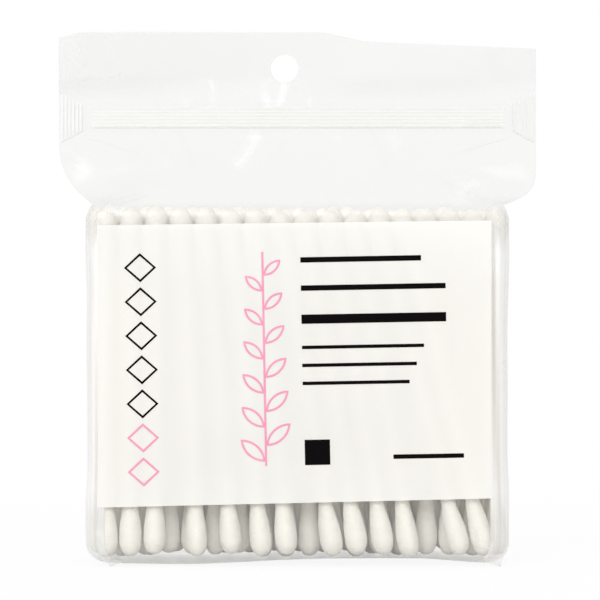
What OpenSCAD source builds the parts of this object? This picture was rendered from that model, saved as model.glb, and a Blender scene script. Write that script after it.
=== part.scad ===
// Refill pack of cotton swabs in a clear press-to-close bag.
// Millimetres, +Z up, printed front towards -Y, base of the bag on Z = 0.

/* [Swabs] */
// Length of a swab from cotton end to cotton end
swab_l = 72; // [68:0.5:80]
// Largest diameter of a cotton tip
tip_d = 4.8; // [4.2:0.1:5.6]
// Length of the cotton wound on each end
tip_l = 14; // [11:0.5:18]
// Distance from a swab's end to the fattest part of its tip
tip_belly = 3.6; // [2.6:0.1:5]
// Bluntness of a tip's end, from 2 for a round one
tip_blunt = 2.2; // [2:0.1:3]
// Thickness of cotton over the end of the stem
tip_cap = 1.4; // [1:0.1:2.2]
// Thickness of cotton where the tip thins out on the stem
neck_t = 0.15; // [0.1:0.05:0.4]
// Diameter of the rolled paper stem
stem_d = 2.5; // [2:0.1:3]

/* [Packing] */
// Swabs in the fullest row
full_count = 18; // [13:1:20]
// How many swabs fewer the front row holds
front_short = 5; // [4:1:6]
// Gap between neighbours in the fullest row
least_gap = 0.06; // [0.05:0.01:0.4]
// Gap between one row and the next
row_gap = 0.06; // [0.04:0.01:0.4]
// Spread of the swabs' heights
stagger = 1; // [0:0.1:2]
// Share of its spare room that the front row gives up at its top, where it leans left
front_lean = 0.93; // [0:0.01:0.95]
// Room left beyond the right end of the front row's foot
front_room = 1.4; // [0:0.1:3]

/* [Bag] */
// Thickness of the clear film
film_t = 0.12; // [0.1:0.01:0.2]
// Clearance between the film and the swabs
slip = 0.1; // [0.08:0.01:0.4]
// Clearance between the lowest swab and the base film
base_gap = 0.1; // [0.08:0.01:0.4]
// Clearance between the tallest swab and the height where the bag is narrowest
crown_gap = 0.2; // [0.2:0.05:0.6]
// Rise of the base film between the two ends it stands on
base_rise = 1.4; // [0:0.1:1.8]
// Radius of the filled bag's upright corners
corner_r = 4.5; // [3.5:0.25:5]
// Radius round the foot of the bag's front and back
foot_r = 2.5; // [1.5:0.25:3]
// Radius round the foot of the bag's sides
side_foot_r = 4.5; // [3.25:0.25:5]
// Flat width of the bag at the zip
header_w = 100.2; // [92:0.2:120]
// Height of the sloping shoulders
shoulder_h = 14.2; // [10:0.2:20]
// How much narrower the bag is over the tops of the swabs
pinch = 1.2; // [0.4:0.1:2]
// Fullness of the left shoulder
left_fullness = 2.6; // [1.5:0.1:9]
// Fullness of the right shoulder
right_fullness = 7; // [1.5:0.1:9]
// Width of the side seals of the header
seal_w = 0.6; // [0.4:0.1:2]
// Free gap between the two sheets of the header
sheet_gap = 0.08; // [0.04:0.01:0.2]
// Height of the header above the zip's centre line
header_h = 18; // [16:0.5:30]
// How far the header's left end is cut below its middle
cut_left = 1; // [0:0.1:3]
// How far the header's right end is cut below its middle
cut_right = 3.4; // [0:0.1:5]
// Diameter of the round hang hole
hole_d = 5.8; // [5:0.1:8]
// Distance of the hang hole's centre from the middle of the bag
hole_x = -2.7; // [-10:0.1:10]
// Drop from the top edge to the hang hole's centre
hole_drop = 7.6; // [5:0.1:9]

/* [Zip] */
// Height of the zip's flanges
zip_h = 4.2; // [3.8:0.1:6]
// Thickness of a zip flange
flange_t = 0.2; // [0.15:0.01:0.3]
// Total thickness of the closed zip inside the bag
zip_t = 1.66; // [1.6:0.01:2.2]
// Clearance round the head that snaps into the groove
snap_gap = 0.06; // [0.04:0.01:0.1]
// Width of the zip's crushed end welds
weld_w = 6; // [4:0.25:9]
// Height of a crushed end weld at the bag's edge
weld_h = 10.6; // [8:0.1:12]
// Height of a crushed end weld at its inner side
weld_inner_h = 5.6; // [4:0.1:8]
// Number of pressed ribs in an end weld
weld_ribs = 6; // [3:1:9]
// Height of the pressed ribs
rib_t = 0.12; // [0.08:0.01:0.3]

/* [Print] */
// Height of the white panel's lower edge at its left end
panel_low = 12.2; // [8:0.1:20]
// Height of the white panel's upper edge at its left end
panel_high = 70.3; // [50:0.1:70.3]
// Rise of the panel's lower edge from left to right
panel_rise = 2.1; // [-3:0.1:3]
// Rise of the panel's upper edge from left to right
panel_top_rise = 1.1; // [-3:0.1:1.2]
// Thickness of each printed layer
ink_t = 0.06; // [0.04:0.01:0.1]
// Width of the drawn lines
line_w = 0.42; // [0.3:0.02:0.7]

/* [Hidden] */
rows = 6;
swab_parts = ["stems", "lower_tips", "upper_tips"];
$fn = 48;
tip_r = tip_d / 2;
stem_r = stem_d / 2;
row_pitch = tip_d + row_gap;
inner_span = (full_count - 1) * (tip_d + least_gap);

// Body of the bag round the swabs
body_hw = inner_span / 2 + tip_r + slip + film_t;
body_hd = (rows - 1) / 2 * row_pitch + tip_r + slip + film_t;
outer_span = 2 * (body_hw - corner_r);
floor_z = base_rise + film_t + base_gap;
crown_z = floor_z + swab_l + stagger + crown_gap;
body_top = crown_z - 3.2;
neck_z = mix(body_top, crown_z, 0.5625);

// Header and zip
header_hw = header_w / 2;
header_hd = film_t + sheet_gap / 2;
zip_hd = zip_t / 2 + film_t;
band_z = crown_z + shoulder_h;
zip_z = band_z + zip_h;
zip_hw = header_hw - seal_w - weld_w;
top_z = zip_z + header_h;
hole_z = top_z - hole_drop;
rim_z = hole_z - hole_d / 2 - 1;

// Half heights of the tongue's neck and arrow head, and the thickness of the groove's jaws
neck_h = 0.13;
head_h = 0.36;
jaw_t = 0.3;

// Width of the flat that the bag stands on at each end of its base
foot_flat = 2;
// Steepest lean that the tops of the front row leave room for
steepest = 15;

// Steps round a corner and along a flat half of the bag's section
corner_steps = 7;
flat_steps = 6;
// Share of a header corner that is sealed flat, before the sheets part round the zip
flat_share = 0.85;
// How far the front and back draw in at the tops of the swabs
crown_drop = 1.6;

function mix(a, b, t) = a + (b - a) * t;
function clamp(t) = max(0, min(1, t));
function ease(t) = t * t * (3 - 2 * t);
function sum_to(list, n) = n == 0 ? 0 : list[n - 1] + sum_to(list, n - 1);

// Places along a row: the ends are given, and the spare room is shared out between the gaps
function spread(from, to, share) =
    let (count = len(share) + 1,
         all = sum_to(share, count - 1),
         step = tip_d + least_gap,
         spare = to - from - (count - 1) * step)
    [for (i = [0:count - 1]) from + i * step + spare * sum_to(share, i) / all];

// Rows run from the front, 1, to the back, 6. Every other inner row is one swab short of full,
// and so is the back one, which ends at the bag's round corners
function row_count(k) = full_count - (k == 1 ? front_short : k == rows || k % 2 == 1 ? 1 : 0);
function row_span(k) = k == 1 || k == rows ? outer_span : inner_span;
function row_y(k) = (k - (rows + 1) / 2) * row_pitch;

// Gaps of the front row at its foot, as shares of the spare room, from left to right
front_gaps = [0.1, 0.1, 4, 2.2, 1.4, 0.4, 4.6, 0.3, 0.6, 0.5, 5.4, 0.3];
front_list = [for (i = [0:row_count(1) - 2]) front_gaps[i % len(front_gaps)]];
even_list = [for (gap = front_list) 1];
top_room = outer_span - len(front_list) * (tip_d + least_gap) / cos(steepest);
function odd_list(k, seed) = [for (r = rands(0.02, 1, row_count(k) - 1, seed)) r * r];
function low_x(k) =
    k == 1 ? spread(-outer_span / 2, outer_span / 2 - front_room, front_list)
    : spread(-row_span(k) / 2, row_span(k) / 2, odd_list(k, 10 + k));
function high_x(k) =
    k == 1 ? spread(-outer_span / 2, outer_span / 2 - front_lean * top_room, even_list)
    : spread(-row_span(k) / 2, row_span(k) / 2, odd_list(k, 30 + k));
function lift(k) = rands(0, stagger, row_count(k), 50 + k);

// Radius of a cotton tip at a distance from the swab's end
function tip_radius(s) =
    s < tip_belly ? tip_r * pow(1 - pow(1 - s / tip_belly, tip_blunt), 1 / tip_blunt)
    : mix(tip_r, stem_r + neck_t, (1 - cos(180 * (s - tip_belly) / (tip_l - tip_belly))) / 2);

// Half of a tip's section, with the blind hole that the stem fills
function tip_outline() = concat(
    [for (a = [0:18:90]) [tip_radius(tip_belly * (1 - cos(a))), tip_belly * (1 - cos(a))]],
    [for (i = [1:6]) let (s = mix(tip_belly, tip_l, i / 6)) [tip_radius(s), s]],
    [[stem_r, tip_l], [stem_r, tip_cap], [0, tip_cap]]);

module tip() {
    rotate_extrude() polygon(tip_outline());
}

module stem() {
    translate([0, 0, tip_cap]) cylinder(r = stem_r, h = swab_l - 2 * tip_cap);
}

// Sets a swab-long child at each place of row k, leaning from its low place to its high one
module along_row(k) {
    low = low_x(k);
    high = high_x(k);
    up = lift(k);
    for (i = [0:row_count(k) - 1]) {
        lean = asin((high[i] - low[i]) / (swab_l - 2 * tip_belly));
        translate([low[i], row_y(k), floor_z + up[i] + tip_belly])
            rotate([0, lean, 0]) translate([0, 0, -tip_belly]) children();
    }
}

module row_stems(k) {
    color("antiquewhite") along_row(k) stem();
}

module row_lower_tips(k) {
    color("ivory") along_row(k) tip();
}

module row_upper_tips(k) {
    color("ivory") along_row(k) translate([0, 0, swab_l]) mirror([0, 0, 1]) tip();
}

// A station of the bag is [z, left half width, right half width, half depth, corner reach,
// half height of the side wall, roundness, sealed share of the corner, seam width]
function body_station(z, side_in, face_in) =
    [z, body_hw - side_in, body_hw - side_in, body_hd - face_in,
     corner_r, body_hd - corner_r - face_in, 1, 0, film_t];

// How far a foot of radius r is drawn in at height z
function foot_in(z, r) = z > r ? 0 : r - sqrt(z * (2 * r - z));
function foot_station(z) = body_station(z, foot_in(z, side_foot_r), foot_in(z, foot_r));

// The shoulders slope from the tops of the swabs to the zip, and fold flat at the sides
function shoulder_station(t) =
    let (full = header_hw - body_hw + pinch,
         crown_hd = body_hd - crown_drop)
    [crown_z + shoulder_h * t,
     header_hw - full * pow(1 - t, left_fullness),
     header_hw - full * pow(1 - t, right_fullness),
     mix(zip_hd, crown_hd, pow(1 - t, 1.1)),
     mix(corner_r, weld_w, t) + 20 * sin(180 * t),
     mix(header_hd, crown_hd - corner_r, pow(1 - t, 9)),
     pow(clamp(1 - 1.6 * t), 2), flat_share * t, mix(film_t, seal_w, t)];

function header_station(z, half_depth) =
    [z, header_hw, header_hw, half_depth, weld_w, header_hd, 0, flat_share, seal_w];

stations = concat(
    [for (a = [0:30:90]) foot_station(foot_r * (1 - cos(a)))],
    [foot_station(side_foot_r)],
    [body_station(body_top, 0, 0),
     body_station(neck_z, 0.45 * pinch, 0.25 * crown_drop),
     body_station(crown_z, pinch, crown_drop)],
    [for (t = [0.09, 0.22, 0.41, 0.63, 0.84, 1]) shoulder_station(t)],
    [header_station(zip_z + zip_h / 2 + 0.1, zip_hd),
     header_station(zip_z + zip_h / 2 + 1.6, header_hd),
     header_station(rim_z, header_hd),
     header_station(top_z, header_hd)]);

// Angle round a corner at step j, with the steps closest near the front
function corner_angle(j) = 90 * sin(90 * j / corner_steps);

// One corner of a section, from the side to the front or back: [distance from the seam, y]
function corner(s, thin) =
    let (wall = s[5] - thin, depth = s[3] - thin)
    [for (j = [0:corner_steps])
        let (a = corner_angle(j),
             t = 1 - cos(a),
             sealed = ease(clamp((t - s[7]) / (1 - s[7]))))
        [s[4] * t, mix(wall, depth, mix(sealed, sin(a), s[6]))]];

// Height of the cut top edge over or under its middle
function top_cut(x) = lookup(x, [[-header_hw, -cut_left], [5 - header_hw, 0], [6, 0],
    [14, -cut_right / 2], [header_hw, -cut_right]]);

// Height of the base over the ends it stands on
function arch(x) = base_rise * (1 - pow(min(1, abs(x) / (body_hw - corner_r - foot_flat)), 4));

// Half of a ring of points round the bag at station s, from the right end past the front to the
// left end, and moved in by the film's thickness when thin is more than 0
function front_half(s, thin) =
    let (inset = thin > 0 ? s[8] : 0,
         edge = corner(s, thin),
         left = inset - s[1],
         right = s[2] - inset,
         flat_right = right - s[4],
         flat_left = left + s[4],
         low = clamp(1 - s[0] / body_top),
         high = clamp((s[0] - rim_z) / (top_z - rim_z)))
    [for (p = concat(
        [[right, 0]],
        [for (p = edge) [right - p[0], -p[1]]],
        [for (i = [1:2 * flat_steps - 1])
            [mix(flat_right, flat_left, i / (2 * flat_steps)), thin - s[3]]],
        [for (j = [corner_steps:-1:0]) [left + edge[j][0], -edge[j][1]]],
        [[left, 0]]))
        [p[0], p[1], max(s[0], s[0] < foot_r ? thin : 0) + low * arch(p[0]) + high * top_cut(p[0])]];

function ring(s, thin) =
    let (front = front_half(s, thin))
    concat(front, [for (i = [len(front) - 2:-1:1]) [front[i][0], -front[i][1], front[i][2]]]);

// Skin of triangles between rings of n points, the first of them at index first, with each
// quad split the mirrored way on the two halves of the bag
function skin(n, rings, first) =
    [for (k = [0:rings - 2], i = [0:n - 1])
        let (a = first + k * n + i, b = first + k * n + (i + 1) % n)
        each (i % (n / 2) < n / 4
            ? [[a, b, b + n], [a, b + n, a + n]]
            : [[a, b, a + n], [b, b + n, a + n]])];

// Strips across the lowest ring, from its front to its back, with a fan at each end
function base(n, first) =
    let (half = n / 2, right = first, left = first + half)
    [for (i = [1:half - 2])
        let (a = first + i, b = a + 1, d = first + n - i, c = d - 1)
        each (i == 1 ? [[right, d, c], [right, c, b], [right, b, a]]
            : i == half - 2 ? [[left, b, a], [left, a, d], [left, d, c]]
            : [[a, d, c, b]])];

function flipped(faces) = [for (f = faces) [for (i = [len(f) - 1:-1:0]) f[i]]];

// The bag as a shell: outer skin, inner skin, and a rim that joins them at the cut top edge
module bag_shell() {
    m = len(stations);
    outer = [for (s = stations) each ring(s, 0)];
    inner = [for (s = stations) each ring(s, film_t)];
    n = len(outer) / m;
    last = (m - 1) * n;
    rim = [for (i = [0:n - 1])
        let (a = last + i, b = last + (i + 1) % n) [a, b, b + m * n, a + m * n]];
    polyhedron(
        points = concat(outer, inner),
        faces = concat(skin(n, m, 0), base(n, 0), rim,
            flipped(concat(skin(n, m, m * n), base(n, m * n)))));
}

module bag_film() {
    color("gainsboro", 0.35) difference() {
        bag_shell();
        translate([hole_x, 0, hole_z]) rotate([90, 0, 0])
            cylinder(d = hole_d, h = 4 * header_hd, center = true);
    }
}

// Sweeps a section drawn in Y and height along the zip
module along_zip() {
    translate([-zip_hw, 0, zip_z]) rotate([90, 0, 90]) linear_extrude(2 * zip_hw) children();
}

// The two guide ribs inside a flange, on the side of the given sign
module guide_ribs(side) {
    for (z = [-1, 1]) translate([side * (zip_t / 2 - flange_t) - rib_t, z * 0.4 * zip_h - rib_t])
        square(2 * rib_t);
}

module zip_tongue() {
    root = zip_t / 2 - flange_t;
    color("whitesmoke", 0.6) along_zip() {
        guide_ribs(-1);
        translate([-zip_t / 2, -zip_h / 2]) square([flange_t, zip_h]);
        polygon([[-root - flange_t / 2, -neck_h], [0.02, -neck_h], [0.02, -head_h],
            [0.36, -0.1], [0.36, 0.1], [0.02, head_h], [0.02, neck_h],
            [-root - flange_t / 2, neck_h]]);
    }
}

module zip_groove() {
    root = zip_t / 2 - flange_t;
    inside = head_h + snap_gap;
    lip = 0.02 - snap_gap;
    upper = [[zip_t / 2, zip_h / 2], [root, zip_h / 2], [root, inside + jaw_t],
        [lip - 0.34, inside + jaw_t], [lip - 0.34, inside + 0.1],
        [lip - 0.12, neck_h + snap_gap], [lip, neck_h + snap_gap], [lip, inside], [root, inside]];
    color("whitesmoke", 0.6) along_zip() {
        guide_ribs(1);
        polygon(concat(upper, [for (i = [len(upper) - 1:-1:0]) [upper[i][0], -upper[i][1]]]));
    }
}

// A crushed end weld: ribs pressed into both faces of the header, longest at the bag's edge
module zip_end_weld(side) {
    inner_x = header_hw - weld_w * flat_share + 0.1;
    outer_x = header_hw - 0.3;
    pitch = (outer_x - inner_x) / weld_ribs;
    color("white", 0.8) for (face = [-1, 1]) mirror([1 - side, 0, 0])
        translate([0, face > 0 ? header_hd : -header_hd - ink_t, 0]) {
            translate([0, ink_t, zip_z]) rotate([90, 0, 0]) linear_extrude(ink_t)
                polygon([[inner_x, -weld_inner_h / 2], [outer_x, -weld_h / 2],
                    [outer_x, weld_h / 2], [inner_x, weld_inner_h / 2]]);
            for (i = [0:weld_ribs - 1]) {
                x = inner_x + (i + 0.25) * pitch;
                h = mix(weld_inner_h, weld_h, i / weld_ribs);
                translate([x, face > 0 ? 0 : ink_t - rib_t - ink_t, zip_z - h / 2])
                    cube([pitch / 2, rib_t + ink_t, h]);
            }
        }
}

// Points across the printed front, pushed out from the film by d
function front_path(d) =
    let (r = corner_r + d, x = body_hw - corner_r, y = body_hd - corner_r)
    concat(
        [for (j = [3:corner_steps])
            let (a = corner_angle(j)) [-x - r * cos(a), -y - r * sin(a)]],
        [for (j = [corner_steps:-1:corner_steps - 1])
            let (a = corner_angle(j)) [x + r * cos(a), -y - r * sin(a)]]);

module print_white_panel() {
    near = front_path(0);
    far = front_path(ink_t);
    side = body_hw + 1;
    color("floralwhite") intersection() {
        linear_extrude(top_z) polygon(concat(near, [for (i = [len(far) - 1:-1:0]) far[i]]));
        rotate([90, 0, 0]) linear_extrude(2 * body_hd)
            polygon([[-side, panel_low], [side, panel_low + panel_rise],
                [side, panel_high + panel_top_rise], [-side, panel_high]]);
    }
}

// Sets a flat drawing in X and Z on the white panel, turned to the mean slope of its edges
module on_panel() {
    middle = (panel_low + panel_high) / 2;
    slope = atan((panel_rise + panel_top_rise) / (4 * body_hw));
    translate([0, -body_hd - ink_t, 0]) rotate([90, 0, 0]) linear_extrude(ink_t)
        translate([0, middle]) rotate(slope)
            scale([body_hw / drawn_hw, (panel_high - panel_low) / drawn_h])
            translate([0, -drawn_middle]) children();
}

// Half width, height and middle of the panel that the drawings are laid out for
drawn_hw = 43.9;
drawn_h = 58.1;
drawn_middle = 41.25;

// Where the drawings stand on it
diamond_x = -32;
sprig_x = -6.8;
text_x = 1;
text_w = 31;

module bar(x, z, w, h) {
    translate([x, z - h / 2]) square([w, h]);
}

module diamond(z, w, h) {
    translate([diamond_x, z]) difference() {
        polygon([[-w / 2, 0], [0, -h / 2], [w / 2, 0], [0, h / 2]]);
        polygon([[-w / 2 + 1.4 * line_w, 0], [0, -h / 2 + 1.4 * line_w],
            [w / 2 - 1.4 * line_w, 0], [0, h / 2 - 1.4 * line_w]]);
    }
}

// Outline of a pointed leaf, from its stalk at the origin along +X
module leaf(length, width) {
    r = (length * length + width * width) / (4 * width);
    translate([length / 2, 0]) difference() {
        intersection_for (s = [-1, 1]) translate([0, s * (r - width / 2)]) circle(r, $fn = 96);
        intersection_for (s = [-1, 1])
            translate([0, s * (r - width / 2)]) circle(r - line_w, $fn = 96);
    }
}

module print_black() {
    color("black") on_panel() {
        for (z = [62.2:-7:34.2]) diamond(z, 6.6, 6);
        bar(text_x, 63.2, 0.8 * text_w, 1.1);
        bar(text_x, 57.4, 0.96 * text_w, 1.1);
        bar(text_x, 51, 0.96 * text_w, 1.9);
        for (i = [0:2]) bar(text_x, 45.2 - 3.7 * i, (0.81 - 0.05 * i) * text_w, 0.7);
        bar(text_x + 0.2, 23.6, 5.2, 5.2);
        bar(text_x + 18.4, 22.4, 14.5, 0.9);
    }
}

module print_pink() {
    color("hotpink") on_panel() {
        for (z = [27.2:-7:20.2]) diamond(z, 6.6, 6);
        bar(sprig_x - line_w / 2, 43, line_w, 44);
        for (i = [0:5], s = [-1, 1])
            translate([sprig_x + s * line_w / 4, 23.5 + 7 * i + 1.6 * s])
                rotate(90 - s * 48) leaf(6.8 - 0.4 * i, 2.8 - 0.15 * i);
    }
}

bag_film();
zip_tongue();
zip_groove();
zip_end_weld(-1);  // zip_end_weld_left
zip_end_weld(1);  // zip_end_weld_right
print_white_panel();
print_black();
print_pink();
for (k = [1:rows]) {
    row_stems(k);
    row_lower_tips(k);
    row_upper_tips(k);
}
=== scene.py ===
"""Clear zip pouch of cotton swabs: film, print, zip and wound cotton, around the fixed frame."""

import math
from types import SimpleNamespace

import bmesh
import bpy
import numpy as np
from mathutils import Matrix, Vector


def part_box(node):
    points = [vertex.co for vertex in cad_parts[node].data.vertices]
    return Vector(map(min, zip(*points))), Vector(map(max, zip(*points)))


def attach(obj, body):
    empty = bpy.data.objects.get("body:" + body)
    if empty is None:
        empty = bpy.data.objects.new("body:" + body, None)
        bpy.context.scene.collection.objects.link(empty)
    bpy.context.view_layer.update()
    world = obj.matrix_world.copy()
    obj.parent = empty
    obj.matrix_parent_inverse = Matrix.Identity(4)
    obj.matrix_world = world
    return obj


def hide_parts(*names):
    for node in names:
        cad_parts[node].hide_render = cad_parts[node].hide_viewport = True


bl_info = {
    "name": "Cotton swab pouch",
    "version": (1, 0, 0),
    "blender": (4, 5, 0),
    "location": "3D View > Sidebar > Pouch",
    "description": "Builds the film, print, zip and swabs of a clear refill pouch",
    "category": "Object",
}

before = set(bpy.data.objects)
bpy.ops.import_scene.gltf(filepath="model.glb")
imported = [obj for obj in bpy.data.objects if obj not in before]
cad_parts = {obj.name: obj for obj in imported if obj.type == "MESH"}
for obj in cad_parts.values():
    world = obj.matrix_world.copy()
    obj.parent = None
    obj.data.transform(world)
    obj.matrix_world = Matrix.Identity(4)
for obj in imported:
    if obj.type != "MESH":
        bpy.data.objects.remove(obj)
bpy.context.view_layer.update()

MM = 0.001
ROWS = range(1, 7)


# What the frame's own pieces measure, in millimetres


def box_mm(node):
    """Lowest and highest corner of a frame node in millimetres."""
    return [np.array(corner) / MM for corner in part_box(node)]


FILM_HIGH = box_mm("bag_film")[1]
ZIP_LOW, ZIP_HIGH = box_mm("zip_tongue")
TIP_LOW, TIP_HIGH = box_mm("row_6_lower_tips")
STEM_LOW, STEM_HIGH = box_mm("row_6_stems")
TIP_R = (TIP_HIGH[1] - TIP_LOW[1]) / 2
STEM_R = (STEM_HIGH[1] - STEM_LOW[1]) / 2
TIP_CAP = STEM_LOW[2] - TIP_LOW[2]
HEADER_HW = FILM_HIGH[0]
BODY_HD = FILM_HIGH[1]
WALL_GAP = BODY_HD - TIP_HIGH[1]
BODY_HW = box_mm("row_2_lower_tips")[1][0] + WALL_GAP
TOP_Z = FILM_HIGH[2]
ZIP_Z = (ZIP_LOW[2] + ZIP_HIGH[2]) / 2
ZIP_H = ZIP_HIGH[2] - ZIP_LOW[2]
BAND_Z = ZIP_Z - ZIP_H


# Sizes and colours that a user would change


def length(name, description, default, low=0.0):
    """A length, given in millimetres and held in metres."""
    return bpy.props.FloatProperty(
        name=name, description=description, default=default * MM, min=low * MM, unit="LENGTH"
    )


def colour(name, description, default):
    """A linear colour."""
    return bpy.props.FloatVectorProperty(
        name=name, description=description, default=default, min=0, max=1, size=3, subtype="COLOR"
    )


class PouchSizes(bpy.types.PropertyGroup):
    """Sizes of the pouch's film."""

    film_t: length("Film", "Thickness of the film", 0.12, 0.05)
    corner_r: length("Corner radius", "Radius of the body's upright corners", 4.5, 1)
    foot_r: length("Foot radius", "Radius round the foot of the front and back", 2.5, 0.5)
    side_foot_r: length("Side foot radius", "Radius round the foot of the sides", 4.5, 1)
    base_rise: length("Base rise", "Highest rise of the base's front edge", 1.75)
    crown_z: length("Crown height", "Height of the tops of the swabs", 74.82, 20)
    crown_drop: length("Crown drop", "How far the faces draw in over the swabs", 1.6)
    pinch: length("Pinch", "How far the sides draw in over the swabs", 1.2)
    weld_w: length("Weld width", "Width of the zip's end welds", 6, 1)
    header_hd: length("Header half depth", "Half of the flat header's depth", 0.16, 0.05)
    zip_hd: length("Zip half depth", "Half of the pouch's depth at the zip", 0.95, 0.3)
    hole_r: length("Hang hole radius", "Radius of the hang hole", 2.9, 1)
    hole_x: length("Hang hole place", "Distance of the hang hole from the middle", -2.7, -20)
    hole_drop: length("Hang hole drop", "Drop from the top edge to the hang hole", 7.6, 4)
    cut_left: length("Left cut", "How far the header's left end is cut down", 1)
    cut_right: length("Right cut", "How far the header's right end is cut down", 3.4)


class SwabSizes(bpy.types.PropertyGroup):
    """Sizes of a swab."""

    tip_l: length("Tip length", "Length of the wound cotton", 14, 5)
    belly: length("Belly", "Distance from the end to the fattest part", 3.6, 1)
    neck_t: length("Neck", "Thickness of the cotton where a tip ends", 0.15)
    wind: length("Winding", "Distance between the turns of cotton", 1.3, 0.2)
    blunt: bpy.props.FloatProperty(
        name="Bluntness", description="How blunt a tip's end is, 2 when round", default=2.3, min=2
    )


class PrintSizes(bpy.types.PropertyGroup):
    """Sizes of the printed front."""

    panel_low: length("Panel bottom", "Height of the panel's lower left end", 12.2)
    panel_high: length("Panel top", "Height of the panel's upper left end", 70.3)
    panel_rise: length("Bottom rise", "Rise of the lower edge from left to right", 2.1, -5)
    panel_top_rise: length("Top rise", "Rise of the upper edge from left to right", 1.1, -5)
    line_w: length("Line", "Width of the drawn lines", 0.42, 0.1)


class PouchColours(bpy.types.PropertyGroup):
    """Colours of the pouch and its contents."""

    film: colour("Film", "What one sheet of film lets through", (0.968, 0.968, 0.964))
    # Film foot is the tan of the painted shade at the doubled foot, between the lower front tips
    # and under the base
    foot: colour("Film foot", "Doubled film at the foot of the pouch", (0.72, 0.67, 0.57))
    veil: colour("Film face", "Haze on the film's own face", (0.80, 0.80, 0.80))
    zip: colour("Zip", "Milky plastic of the zip", (0.85, 0.85, 0.835))
    panel: colour("Panel", "White ink", (0.95, 0.94, 0.90))
    black: colour("Black", "Black ink", (0.002, 0.0015, 0.0015))
    pink: colour("Pink", "Pink ink", (0.82, 0.25, 0.42))
    cotton: colour("Cotton", "Wound cotton", (0.97, 0.945, 0.875))
    paper: colour("Paper", "Rolled paper of the stems", (0.90, 0.77, 0.58))


class StageSizes(bpy.types.PropertyGroup):
    """Place of the camera."""

    distance: length("Distance", "From the camera to the middle of the pouch", 685, 100)
    height: length("Height", "Height of the camera", 54.98)
    aside: length("Aside", "How far right of the middle the camera is", 0.525, -50)
    view_w: length("View width", "Width seen at the middle of the pouch", 126.05, 10)


def in_mm(group):
    """The lengths of a property group in millimetres."""
    values = SimpleNamespace()
    for key in group.__annotations__:
        unit = MM if group.bl_rna.properties[key].unit == "LENGTH" else 1
        setattr(values, key, getattr(group, key) / unit)
    return values


# Helpers on arrays


def mix(a, b, t):
    """The value a share t of the way from a to b."""
    return a + (b - a) * t


def clamp(t):
    """t kept between 0 and 1."""
    return np.clip(t, 0.0, 1.0)


def ease(t):
    """A smooth step from 0 to 1."""
    t = clamp(t)
    return t * t * (3 - 2 * t)


def through(start, *runs):
    """Numbers from start on through places, each with the number of steps that lead to it."""
    numbers = [np.array([start])]
    for place, steps in runs:
        numbers.append(np.linspace(numbers[-1][-1], place, steps + 1)[1:])
    return np.concatenate(numbers)


def turned(x, z, angle):
    """A place turned round the middle by an angle."""
    return x * math.cos(angle) - z * math.sin(angle), x * math.sin(angle) + z * math.cos(angle)


def wander(place, seed, size):
    """Smooth relief of about -1 to 1, from waves about size apart that cross at odd angles."""
    rng = np.random.default_rng(seed)
    total = 0
    for _ in range(8):
        way = rng.normal(size=len(place))
        way *= math.tau / (size * rng.uniform(0.6, 1.7) * np.linalg.norm(way))
        total = total + np.sin(sum(w * p for w, p in zip(way, place)) + rng.uniform(0, math.tau))
    return total / 4


def add_piece(name, points, faces, finish, replaced, marks=None):
    """Makes a smooth mesh piece from points in millimetres, and lets it stand for its nodes."""
    mesh = bpy.data.meshes.new(name)
    mesh.from_pydata((np.reshape(points, (-1, 3)) * MM).tolist(), [], faces)
    for mark, values in (marks or {}).items():
        carried = mesh.attributes.new(mark, "FLOAT", "POINT")
        carried.data.foreach_set("value", np.ravel(values).astype(np.float32))
    solid = bmesh.new()
    solid.from_mesh(mesh)
    bmesh.ops.remove_doubles(solid, verts=solid.verts, dist=1e-7)
    loose = [v for v in solid.verts if not v.link_faces]
    bmesh.ops.delete(solid, geom=loose, context="VERTS")
    solid.to_mesh(mesh)
    solid.free()
    mesh.shade_smooth()
    mesh.materials.append(finish)
    piece = bpy.data.objects.new(name, mesh)
    bpy.context.scene.collection.objects.link(piece)
    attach(piece, "root")
    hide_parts(*replaced)


def grid_faces(rows, columns, first=0, closed=False):
    """Quads over a grid of points that was laid row by row."""
    last = columns if closed else columns - 1
    i, j = np.meshgrid(np.arange(rows - 1), np.arange(last), indexing="ij")
    a = first + i * columns + j
    b = first + i * columns + (j + 1) % columns
    return np.stack([a, b, b + columns, a + columns], -1).reshape(-1, 4)


# Materials


class Value:
    """A shader socket that can be used in a Python expression."""

    def __init__(self, finish, socket):
        self.finish, self.socket = finish, socket

    def out(self, name):
        """Another output of the same node."""
        return Value(self.finish, self.socket.node.outputs[name])

    def math(self, operation, first, second):
        """What a Math node makes of two values."""
        return self.finish.node("ShaderNodeMath", {"operation": operation}, {0: first, 1: second})

    def __add__(self, other):
        return self.math("ADD", self, other)

    __radd__ = __add__

    def __sub__(self, other):
        return self.math("SUBTRACT", self, other)

    def __rsub__(self, other):
        return self.math("SUBTRACT", other, self)

    def __mul__(self, other):
        return self.math("MULTIPLY", self, other)

    __rmul__ = __mul__

    def __pow__(self, other):
        return self.math("POWER", self, other)

    def least(self, other):
        """The smaller of two values."""
        return self.math("MINIMUM", self, other)

    def most(self, other):
        """The larger of two values."""
        return self.math("MAXIMUM", self, other)


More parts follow.
